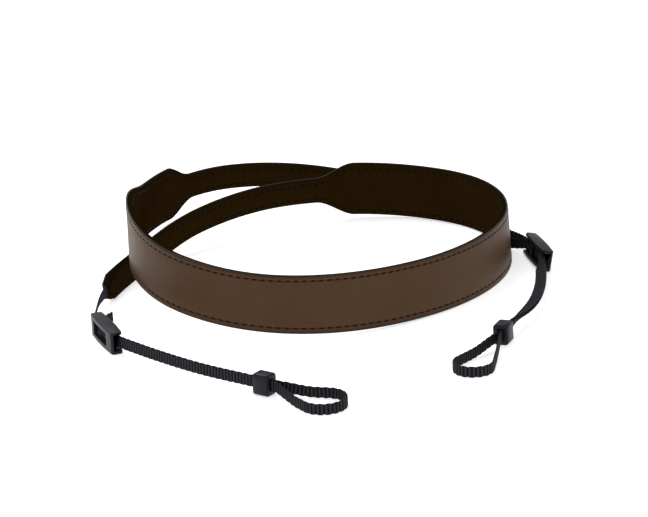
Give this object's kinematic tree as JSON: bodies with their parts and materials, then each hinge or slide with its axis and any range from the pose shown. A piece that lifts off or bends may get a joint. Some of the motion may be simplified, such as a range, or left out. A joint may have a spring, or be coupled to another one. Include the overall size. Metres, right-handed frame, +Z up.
{
  "type": "camera neck strap",
  "caption": "Leather neck strap standing in a loose ring, its tapered ends carrying webbing leads with plastic buckles, keepers and lug loops.",
  "frame": {"origin": "on the floor, under the middle of the strap's box", "axes": "+X to the right of the front of the ring, +Y from the front of the ring to its back, +Z up, along the width of the band"},
  "size_m": [0.2776, 0.4058, 0.0537],
  "materials": {
    "outer_leather": "smooth brown leather, low sheen",
    "lining_leather": "soft dark brown leather, matt",
    "webbing": "ribbed black webbing",
    "plastic": "fine-grained dark grey plastic"
  },
  "bodies": {
    "root": {"outer_leather": "outer_leather", "lining_leather": "lining_leather", "left_webbing": "webbing", "right_webbing": "webbing", "left_buckle": "plastic", "right_buckle": "plastic", "left_keeper": "plastic", "right_keeper": "plastic"}
  },
  "joints": []
}
